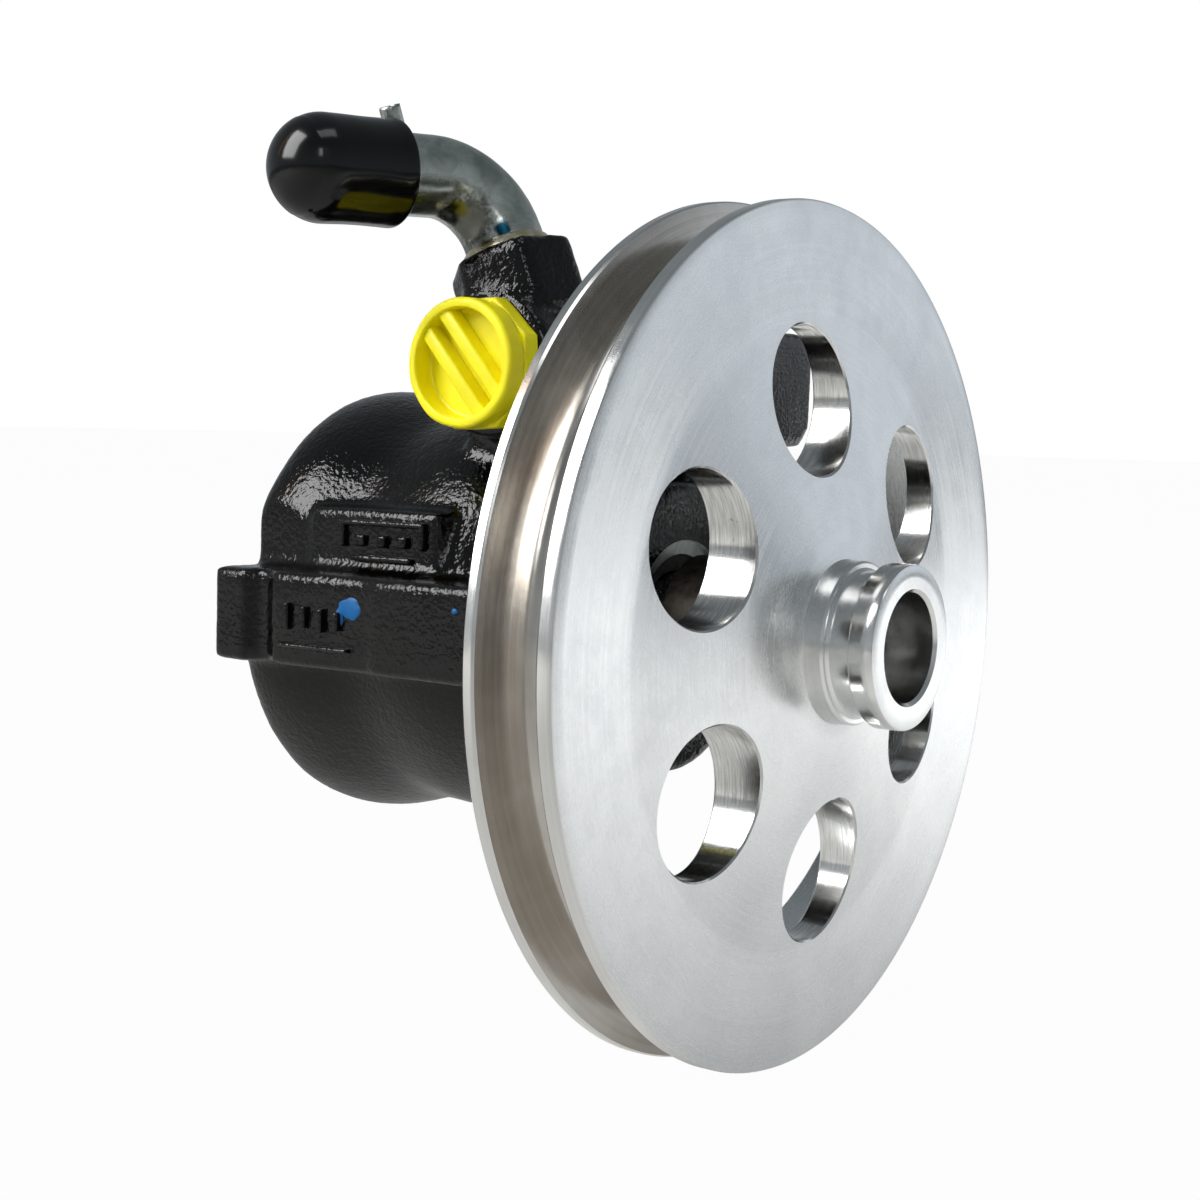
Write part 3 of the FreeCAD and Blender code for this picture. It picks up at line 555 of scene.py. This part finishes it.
def machiningCutters():
    # the tools' paths: seal and bearing bores, cartridge bore, ring groove, port, tube seat, drilled holes
    h = housing
    bm = bmesh.new()
    chamber, face = h["chamberRadius"], h["rearFaceY"]
    seal, bearing, shoulder = h["sealBore"], h["bearingBore"], h["sealShoulderY"]
    groove, (grooveStart, grooveEnd) = h["ringGrooveRadius"], h["ringGrooveY"]
    outline = [(0, -9), (seal, -9), (seal, shoulder), (bearing, shoulder), (bearing, h["chamberFrontY"]),
               (chamber, h["chamberFrontY"]), (chamber, grooveStart), (groove, grooveStart),
               (groove, grooveEnd), (chamber, grooveEnd), (chamber, 75.0), (0, 75.0)]
    addTurned(bm, outline, 160, (0, 0, 0), (0, 1, 0))
    outline = [(0, -60), (h["portFaceRadius"], -60), (h["portFaceRadius"], h["portFaceX"]),
               (h["portRadius"], h["portFaceX"]), (h["portRadius"], h["portEndX"]), (0, h["portEndX"])]
    addTurned(bm, outline, 96, valveAt, (1, 0, 0), (0, 1, 0))
    addRod(bm, inletBase - inletRise * h["tubeSeatDepth"], inletBase + inletRise * 6, h["tubeSeatRadius"])
    for x, z, depth in h["frontHoles"]:
        addDrill(bm, (x, -0.1, z), (0, 1, 0), depth)
    x, z, bottomY = h["rearHole"]
    addDrill(bm, (x, face, z), (0, -1, 0), face - bottomY)
    bmesh.ops.recalc_face_normals(bm, faces=bm.faces)
    return bm


def addDrill(bm, mouth, direction, depth):
    # a drill's path with a countersunk mouth and a pointed end
    radius, sink = housing["boltRadius"], housing["countersink"]
    outline = [(0, -3), (radius + sink, -3), (radius + sink, 0), (radius, sink), (radius, depth),
               (0, depth + radius * 0.5)]
    addTurned(bm, outline, 32, mouth, direction, (0.9, 0, 0.2))


def makeHousing():
    h = housing
    bm = bmesh.new()
    bm.from_mesh(frame["nodes"]["pump_housing"].data)
    bmesh.ops.remove_doubles(bm, verts=bm.verts, dist=0.002 * mm)
    piece = newObject(bm, "housingCasting")
    fillers = newObject(boreFillers(), "boreFillers")
    join = piece.modifiers.new("fillBores", "BOOLEAN")
    join.operation = "UNION"
    join.solver = "EXACT"
    join.use_self = True
    join.object = fillers
    remesh = piece.modifiers.new("skin", "REMESH")
    remesh.mode = "VOXEL"
    remesh.voxel_size = h["voxel"] * mm
    applyModifiers(piece)
    bpy.data.objects.remove(fillers, do_unlink=True)
    bm = bmesh.new()
    bm.from_mesh(piece.data)
    for _ in range(h["easePasses"]):
        bmesh.ops.smooth_vert(bm, verts=bm.verts, factor=0.5, use_axis_x=True, use_axis_y=True,
                              use_axis_z=True)
    bm.normal_update()
    for v in bm.verts:
        spot = v.co / mm
        lump = noise.noise(spot / h["lumpSize"]) * h["lumpHeight"]
        grain = (abs(noise.noise(spot / h["grainSize"])) - 0.35) * h["grainHeight"]
        v.co += v.normal * (lump + grain - h["shrink"]) * mm
    bm.to_mesh(piece.data)
    bm.free()
    names = ("paint", "machined")
    piece.data.materials.clear()
    for name in names:
        piece.data.materials.append(finishes[name])
    cutters = newObject(machiningCutters(), "machiningCutters", [finishes[n] for n in names])
    cutters.data.polygons.foreach_set("material_index", [1] * len(cutters.data.polygons))
    cutAway(piece, cutters)
    finishPiece(piece, "pump_body", 40)
    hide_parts("pump_housing")
    print("housing cast, eased and machined:", len(piece.data.polygons), "faces")


makeHousing()


castingMarks = {
    "shelfX": -38.0, "panelX": -47.7, "height": 1.5, "frameY": (24.5, 44.0), "frameZ": (11.0, 18.4),
    "bar": 1.1, "panelY": (48.0, 44.0, 40.0, 36.2), "panelZ": (-1.4, 3.4), "ruleY": (33.5, 50.0),
    "ruleZ": -4.6, "edge": 0.45, "grain": 0.09,
}


def makeCastingMarks():
    # plain raised bars and blocks that stand for the foundry's marks
    c = castingMarks
    bm = bmesh.new()
    (y0, y1), (z0, z1), bar = c["frameY"], c["frameZ"], c["bar"]
    shelf = (c["shelfX"] - c["height"], c["shelfX"] + 1.5)
    panel = (c["panelX"] - c["height"] + 0.1, c["panelX"] + 1.5)
    blocks = [(shelf, (y0, y1), (z1 - bar, z1)), (shelf, (y0 + 3, y1 - 3), (z0, z0 + bar)),
              (shelf, (y0, y0 + bar), (z0 + 2.4, z1)), (shelf, (y1 - bar, y1), (z0 + 2.4, z1)),
              (panel, c["ruleY"], (c["ruleZ"], c["ruleZ"] + 0.8))]
    for k in range(3):
        middle = y0 + (y1 - y0) * (k + 1.0) / 4
        blocks.append((shelf, (middle - 1.0, middle + 1.0), (z0 + 2.6, z1 - 2.6)))
    foot, top = c["panelZ"]
    for k, y in enumerate(c["panelY"]):
        blocks.append((panel, (y - 0.65, y + 0.65), (foot + 0.5 * (k % 2), top - 0.3 * k)))
    for xs, ys, zs in blocks:
        low, high = zip(xs, ys, zs)
        addBlock(bm, low, high, c["edge"])
    bmesh.ops.subdivide_edges(bm, edges=[e for e in bm.edges if e.calc_length() > 1.0 * mm], cuts=6,
                              use_grid_fill=True)
    bm.normal_update()
    for v in bm.verts:
        v.co += v.normal * noise.noise(v.co / (1.1 * mm)) * c["grain"] * mm
    piece = newObject(bm, "castingMarks", [finishes["paint"]])
    finishPiece(piece, "pump_body", 60)
    print("casting marks raised")


makeCastingMarks()


markingPaint = {
    # each dab is x, y and z, then how wide and how tall it is from its middle
    "dabs": ((-47.85, 33.6, 3.3, 2.6, 1.9), (-47.85, 36.0, 1.6, 0.9, 1.6), (-48.6, 9.5, 4.6, 0.7, 0.5)),
    "thick": 0.35, "ragged": 0.22, "raggedSize": 1.3,
}


def makeMarkingPaint():
    # the inspector's dab: one thick drop with a short run beside it, and a spot nearer the front
    m = markingPaint
    bm = bmesh.new()
    for x, y, z, wide, tall in m["dabs"]:
        made = bmesh.ops.create_icosphere(bm, subdivisions=5, radius=mm)["verts"]
        bmesh.ops.scale(bm, verts=made, vec=(m["thick"], wide, tall))
        for v in made:
            edge = 1 + m["ragged"] * noise.noise(v.co / (m["raggedSize"] * mm))
            v.co = Vector((v.co.x, v.co.y * edge, v.co.z * edge))
        bmesh.ops.translate(bm, verts=made, vec=Vector((x, y, z)) * mm)
    piece = newObject(bm, "markingPaint", [finishes["blue"]])
    finishPiece(piece, "pump_body", 60)
    print("marking paint dabbed on")


makeMarkingPaint()


inletTube = {
    "radius": 7.2, "wall": 1.0, "bendRadius": 13.0, "insert": 8.6, "beforeBend": 1.2, "afterBend": 25.0,
    "collarLow": 8.5, "collarHigh": 7.9, "collarDrop": 1.9, "bead": 7.88, "segments": 96, "bendSteps": 42,
    "collarEdge": 0.3, "beadSlope": 0.4, "beadWidth": 1.2, "pastBead": 1.7, "mouthEdge": 0.3,
    "mouthScale": 0.97, "straightSteps": 24, "dent": 0.22, "dentSize": 3.2, "ripple": 0.03, "rippleSize": 1.3,
}


def bendFrame():
    # how far the bend turns, the point it turns about, and where it ends
    t = inletTube
    angle = inletRise.angle(inletRun)
    inward = (inletRun - inletRise * math.cos(angle)).normalized()
    start = inletBase + inletRise * t["beforeBend"]
    centre = start + inward * t["bendRadius"]
    end = centre + (inletRise * math.sin(angle) - inward * math.cos(angle)) * t["bendRadius"]
    return angle, centre, end


def makeInletTube():
    t = inletTube
    angle, centre, bendEnd = bendFrame()
    bm = bmesh.new()
    verts = bmesh.ops.create_circle(bm, segments=t["segments"], radius=t["radius"] * mm)["verts"]
    placeAlong(bm, verts, (inletBase - inletRise * t["insert"]) * mm, inletRise)
    ring = list({e for v in verts for e in v.link_edges})
    # each step is how far the ring moves and how much wider it gets
    low, high, plain, edge = t["collarLow"], t["collarHigh"], t["radius"], t["collarEdge"]
    steps = ((t["insert"] - t["collarDrop"], 1.0), (0, (low - edge) / plain), (edge, low / (low - edge)),
             (t["collarDrop"] - 2 * edge, high / low), (edge, (high - edge) / high),
             (0, plain / (high - edge)), (t["beforeBend"], 1.0))
    for move, scale in steps:
        ring = growRing(bm, ring, inletRise * move * mm, scale)
    geometry = ring + list({v for e in ring for v in e.verts})
    made = bmesh.ops.spin(bm, geom=geometry, cent=centre * mm, axis=inletRise.cross(inletRun).normalized(),
                          angle=angle, steps=t["bendSteps"], use_merge=False)["geom_last"]
    ring = [g for g in made if isinstance(g, bmesh.types.BMEdge)]
    slope, bead, count = t["beadSlope"], t["bead"], t["straightSteps"]
    straight = t["afterBend"] - (2 * slope + t["beadWidth"] + t["pastBead"] + t["mouthEdge"])
    steps = [(straight / count, 1.0)] * count
    steps += [(slope, bead / plain), (t["beadWidth"], 1.0), (slope, plain / bead), (t["pastBead"], 1.0),
              (t["mouthEdge"], t["mouthScale"])]
    for move, scale in steps:
        ring = growRing(bm, ring, inletRun * move * mm, scale)
    bmesh.ops.remove_doubles(bm, verts=bm.verts, dist=0.001 * mm)
    bmesh.ops.recalc_face_normals(bm, faces=bm.faces)
    bm.normal_update()
    for v in bm.verts:
        spot = v.co / mm
        past = (spot - bendEnd).dot(inletRun)
        up = (spot - inletBase).dot(inletRise)
        share = min(max(up / 4, 0), 1) * min(max((6 - past) / 6, 0), 1)
        press = max(noise.noise(spot / t["dentSize"]) - 0.12, 0) * t["dent"]
        press += noise.noise(spot / t["rippleSize"]) * t["ripple"]
        v.co -= v.normal * press * share * mm
    for face in bm.faces:
        up = (face.calc_center_median() / mm - inletBase).dot(inletRise)
        face.material_index = 1 if -t["collarDrop"] - 0.1 < up < 0.15 else 0
    piece = newObject(bm, "inletTubeBody", [finishes["tubeZinc"], finishes["collar"]])
    wall = piece.modifiers.new("wall", "SOLIDIFY")
    wall.thickness = t["wall"] * mm
    wall.offset = -1
    finishPiece(piece, "pump_body", 40)
    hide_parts("inlet_tube")
    print("inlet tube bent")


makeInletTube()


inletCap = {
    "radius": 9.45, "length": 23.4, "back": 7.8, "bore": 7.98, "floor": 4.4, "lip": 0.45, "longestRun": 0.7,
    "sag": 0.10, "sagSize": 6.5, "waist": 0.12, "waistAt": 7, "waistWidth": 4,
}


def makeInletCap():
    # dipped vinyl: a soft dome, a rolled lip, and a wall that follows its own small waves
    c = inletCap
    radius, dome = c["radius"], c["length"] - c["radius"]
    depth = c["length"] - c["floor"]
    outline = [(0, depth), (c["bore"] - 0.8, depth), (c["bore"], depth - 0.8), (c["bore"], 0.2),
               (c["bore"] + 0.25, 0)]
    outline += arcPoints((radius - c["lip"], c["lip"]), c["lip"], -90, 0, 5)
    outline += arcPoints((0, dome), radius, 0, 90, 40)
    bm = turnedSolid(finer(outline, c["longestRun"]), 128)
    for v in bm.verts:
        spot = v.co / mm
        if math.hypot(spot.x, spot.y) > c["bore"] + 0.3:
            ease = min(max((spot.z - 0.5) / 2, 0), 1)
            waist = -c["waist"] * math.exp(-((spot.z - c["waistAt"]) / c["waistWidth"]) ** 2)
            press = (noise.noise(spot / c["sagSize"]) * c["sag"] - c["sag"] + waist) * ease
            v.co += v.normal * press * mm
    bendEnd = bendFrame()[-1]
    placeAlong(bm, bm.verts, (bendEnd + inletRun * c["back"]) * mm, inletRun, (0, 0, 1))
    bmesh.ops.recalc_face_normals(bm, faces=bm.faces)
    piece = newObject(bm, "inletCapBody", [finishes["vinyl"]])
    finishPiece(piece, "inlet_cap_body", 50)
    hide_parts("inlet_cap")
    print("inlet cap dipped")


makeInletCap()


outletPlug = {
    "rimRadius": 11.3, "frontX": -41.2, "recess": 4.2, "recessRadius": 9.5, "flangeRadius": 12.2,
    "flangeX": (-36.8, -33.1), "cornerDegrees": 20, "stemRadius": 6.55, "stemEndX": -24.0, "hollow": 4.6,
    "hollowX": -33.0, "ribOffset": 2.5, "ribWidth": 2.6, "ribTurn": -41, "ribReach": 9.7, "ribFront": 0.75,
    "ribEdge": 0.55, "flangeCorners": 8, "longestRun": 0.8, "wobble": 0.16, "wobbleScale": 2.3,
}


def plugOutline():
    # from the recess floor out over the rim and flange, then to the stem and its hollow
    p = outletPlug
    rim, well, front = p["rimRadius"], p["recessRadius"], p["frontX"]
    start, end = (x - front for x in p["flangeX"])
    stemEnd, hollow = p["stemEndX"] - front, p["hollowX"] - front
    outline = [(0, p["recess"]), (well - 0.5, p["recess"])]
    outline += arcPoints((well - 0.6, p["recess"] - 0.6), 0.6, 90, 0, 4)
    outline += [(well, 0.5)] + arcPoints((well + 0.4, 0.4), 0.4, 180, 270, 4)
    outline += arcPoints((rim - 0.8, 0.8), 0.8, -90, 0, 6)
    outline += [(rim, start - 0.2), (rim + 0.15, start), (p["flangeRadius"] - 0.4, start)]
    outline += arcPoints((p["flangeRadius"] - 0.4, start + 0.4), 0.4, -90, 0, 3)
    outline += [(p["flangeRadius"], end - 0.3), (p["flangeRadius"] - 0.3, end), (p["stemRadius"] + 0.3, end),
                (p["stemRadius"], end + 0.3), (p["stemRadius"], stemEnd - 0.5),
                (p["stemRadius"] - 0.5, stemEnd), (p["hollow"], stemEnd), (p["hollow"], hollow), (0, hollow)]
    return outline


def makeOutletPlug():
    p = outletPlug
    rim, well, front = p["rimRadius"], p["recessRadius"], p["frontX"]
    start, end = (x - front for x in p["flangeX"])
    bm = turnedSolid(finer(plugOutline(), p["longestRun"]), 160)
    # the flange is pressed to flats, and the moulding's outside wanders a little
    corner = math.pi / p["flangeCorners"]
    for v in bm.verts:
        # local X lies along the part's own Y, so that the corners start from there
        radius = math.hypot(v.co.x, v.co.y) / mm
        around = math.atan2(v.co.y, v.co.x) - math.radians(p["cornerDegrees"])
        if start - 0.1 < v.co.z / mm < end + 0.1 and radius > rim - 0.1:
            scale = math.cos(corner) / math.cos(around % (2 * corner) - corner)
            scale = max(scale, (rim - 0.2) / radius)
        else:
            scale = 1.0
        if radius > well + 0.2:
            spot = Vector((math.cos(around), math.sin(around), v.co.z / mm / 9)) * p["wobbleScale"]
            scale -= (0.5 + noise.noise(spot)) * p["wobble"] / rim
        v.co = Vector((v.co.x * scale, v.co.y * scale, v.co.z))
    made = []
    half, reach = p["ribWidth"] / 2, p["ribReach"]
    for middle in (-p["ribOffset"], p["ribOffset"]):
        low, high = (middle - half, -reach, p["ribFront"]), (middle + half, reach, p["recess"] + 0.3)
        made += addBlock(bm, low, high, p["ribEdge"])
    turn = Matrix.Rotation(math.radians(p["ribTurn"]), 3, "Z")
    bmesh.ops.rotate(bm, verts=made, cent=(0, 0, 0), matrix=turn)
    placeAlong(bm, bm.verts, (valveAt + Vector((front, 0, 0))) * mm, (1, 0, 0), (0, 1, 0))
    bmesh.ops.recalc_face_normals(bm, faces=bm.faces)
    piece = newObject(bm, "outletPlugBody", [finishes["yellow"]])
    finishPiece(piece, "outlet_plug_body", 45)
    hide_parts("outlet_plug")
    print("outlet plug moulded")


makeOutletPlug()


tubeTab = {
    "radius": 1.9, "wall": 0.5, "length": 7.6, "alongTube": -4.0, "above": 4.8, "aside": -3.6,
    "open": 3, "start": 1.0, "rings": 12, "upright": 0.95, "leaning": 0.33,
}


def makeTubeTab():
    # a strip rolled into a small open sleeve and brazed on behind the cap
    t = tubeTab
    bendEnd = bendFrame()[-1]
    up = Vector((0, 0, 1))
    across = inletRun.cross(up) * -1
    mouth = bendEnd + inletRun * inletCap["back"]
    foot = mouth + inletRun * t["alongTube"] + up * t["above"] + across * t["aside"]
    lean = (up * t["upright"] + inletRun * t["leaning"]).normalized()
    bm = bmesh.new()
    verts = bmesh.ops.create_circle(bm, segments=48, radius=t["radius"] * mm)["verts"]
    placeAlong(bm, verts, (foot + lean * t["start"]) * mm, lean, (0.8, 0.6, 0))
    bmesh.ops.delete(bm, geom=verts[:t["open"]], context="VERTS")
    ring = list(bm.edges)
    for _ in range(t["rings"]):
        ring = growRing(bm, ring, lean * (t["length"] - t["start"]) / t["rings"] * mm)
    bmesh.ops.recalc_face_normals(bm, faces=bm.faces)
    piece = newObject(bm, "tubeTabBody", [finishes["zinc"]])
    wall = piece.modifiers.new("wall", "SOLIDIFY")
    wall.thickness = t["wall"] * mm
    wall.offset = -1
    finishPiece(piece, "pump_body", 40)
    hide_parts("tube_locating_tab")
    print("tube tab rolled")


makeTubeTab()


studio = {
    "worldTop": "767C80", "worldSide": "A9ADB1", "backdrop": "FFFFFF", "floor": "B5B4B1", "floorDrop": 0.4,
    "floorSize": 12.0, "floorGlow": 0.97, "poolPlace": (0.90, -0.45), "poolReach": 1.2, "poolStrength": 1.35,
    "flagWidth": 0.36, "flagHeight": 0.17, "flagPlace": (0.62, -0.78), "flagColour": "6A7278",
    # name: place in metres, width, height, radiance, colour
    "panels": {
        "keyPanel": ((-1.02, 0.66, 0.88), 0.75, 1.15, 9.0, "FFFFFF"),
        "warmStrip": ((-0.62, 1.10, 0.86), 0.05, 0.9, 2.2, "E8A24A"),
        "frontRightPanel": ((1.50, -0.80, 0.45), 1.1, 0.8, 0.5, "E0E8F2"),
        "topPanel": ((-0.2, -0.5, 1.6), 0.7, 0.5, 2.0, "FFFFFF"),
        "frontLeftPanel": ((-1.3, -1.1, 0.9), 0.4, 0.5, 4.0, "FFFFFF"),
    },
}


def makeFloor(low):
    s = studio
    bm = bmesh.new()
    bmesh.ops.create_grid(bm, x_segments=1, y_segments=1, size=s["floorSize"])
    bmesh.ops.translate(bm, verts=bm.verts, vec=(0, 0, low[2] - s["floorDrop"] * mm))
    material, tree, shader, coords = newMaterial("paleFloor", Roughness=0.7)
    shader.inputs["Base Color"].default_value = hexColour(s["floor"])
    glow = addNode(tree, "Emission", {"Color": hexColour(s["backdrop"]), "Strength": 1.0}).outputs[0]
    seen = addNode(tree, "MixShader", {0: s["floorGlow"], 1: shader.outputs[0], 2: glow}).outputs[0]
    path = addNode(tree, "LightPath").outputs["Is Camera Ray"]
    # the part of the floor that the pulley's face looks at is lit brighter than the rest
    size = 1 / s["poolReach"]
    spot = addNode(tree, "Mapping", {"Vector": coords, "Scale": (size, size, 0),
                                     "Location": Vector((*s["poolPlace"], 0)) * -size}).outputs[0]
    pool = addNode(tree, "TexGradient", {"Vector": spot}, gradient_type="SPHERICAL").outputs[1]
    strength = addNode(tree, "MapRange", {0: pool, 1: 0.0, 2: 0.7, 4: s["poolStrength"]}).outputs[0]
    extra = addNode(tree, "Emission", {"Color": hexColour(s["backdrop"]), "Strength": strength}).outputs[0]
    lit = addNode(tree, "AddShader", {0: shader.outputs[0], 1: extra}).outputs[0]
    choose = addNode(tree, "MixShader", {0: path, 1: lit, 2: seen}).outputs[0]
    tree.links.new(choose, tree.nodes["Material Output"].inputs["Surface"])
    newObject(bm, "paleFloor", [material])


def makeCard(low):
    # a low grey card stands beside the set, and only reflections show it
    s = studio
    bm = bmesh.new()
    verts = bmesh.ops.create_grid(bm, x_segments=1, y_segments=1, size=0.5)["verts"]
    bmesh.ops.scale(bm, verts=verts, vec=(s["flagWidth"], s["flagHeight"], 1))
    side = Vector((-s["flagPlace"][1], s["flagPlace"][0], 0))
    middle = (*s["flagPlace"], low[2] + s["flagHeight"] / 2)
    placeAlong(bm, verts, middle, (*s["flagPlace"], 0), side)
    card, tree, shader, coords = newMaterial("darkCard", Roughness=0.8)
    shader.inputs["Base Color"].default_value = hexColour(s["flagColour"])
    flag = newObject(bm, "darkCard", [card])
    flag.visible_camera = False


def makeWorld():
    # greys that change with height light the part, and the camera sees plain white
    s = studio
    world = bpy.data.worlds.new("studioWorld")
    bpy.context.scene.world = world
    world.use_nodes = True
    tree = world.node_tree
    tree.nodes.clear()
    up = addNode(tree, "SeparateXYZ", {0: addNode(tree, "TexCoord").outputs["Generated"]}).outputs[2]
    share = addNode(tree, "MapRange", {0: up, 1: 0.0, 2: 0.7}).outputs[0]
    sky = addNode(tree, "Mix", {0: share, 6: hexColour(s["worldSide"]), 7: hexColour(s["worldTop"])},
                  data_type="RGBA").outputs[2]
    lit = addNode(tree, "Background", {"Color": sky, "Strength": 1.0}).outputs[0]
    seen = addNode(tree, "Background", {"Color": hexColour(s["backdrop"]), "Strength": 1.0}).outputs[0]
    path = addNode(tree, "LightPath").outputs["Is Camera Ray"]
    choose = addNode(tree, "MixShader", {0: path, 1: lit, 2: seen}).outputs[0]
    addNode(tree, "OutputWorld", {"Surface": choose})


def makePanels():
    # soft boxes, all turned towards the origin
    for name, (place, width, height, radiance, colour) in studio["panels"].items():
        lamp = bpy.data.lights.new(name, "AREA")
        lamp.shape = "RECTANGLE"
        lamp.size, lamp.size_y = width, height
        lamp.energy = radiance * width * height * math.pi
        lamp.color = hexColour(colour)[:3]
        item = bpy.data.objects.new(name, lamp)
        bpy.context.scene.collection.objects.link(item)
        item.location = place
        item.rotation_euler = (-Vector(place)).to_track_quat("-Z", "Y").to_euler()


cameraPlace = {
    "azimuth": -55.22, "elevation": 4.782, "roll": 1.572, "place": (-318.62, -207.61, 36.13), "lens": 62.06,
}


def makeCamera():
    # a slightly long lens, a little above the shaft and well round to the port side
    c = cameraPlace
    azimuth, elevation, roll = (math.radians(c[name]) for name in ("azimuth", "elevation", "roll"))
    back = Vector((math.sin(azimuth) * math.cos(elevation), -math.cos(azimuth) * math.cos(elevation),
                   math.sin(elevation)))
    right = Vector((math.cos(azimuth), math.sin(azimuth), 0))
    up = back.cross(right)
    levelRight = right * math.cos(roll) + up * math.sin(roll)
    levelUp = up * math.cos(roll) - right * math.sin(roll)
    data = bpy.data.cameras.new("camera")
    data.lens = c["lens"]
    data.sensor_width = 36
    data.clip_start = 0.01
    camera = bpy.data.objects.new("camera", data)
    bpy.context.scene.collection.objects.link(camera)
    turn = Matrix((levelRight, levelUp, back)).transposed().to_4x4()
    camera.matrix_world = Matrix.Translation(Vector(c["place"]) * mm) @ turn
    bpy.context.scene.camera = camera


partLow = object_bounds()[0]
makeFloor(partLow)
makeCard(partLow)
makeWorld()
makePanels()
makeCamera()
bpy.context.scene.view_settings.view_transform = "Standard"
print("stage, light and camera placed")
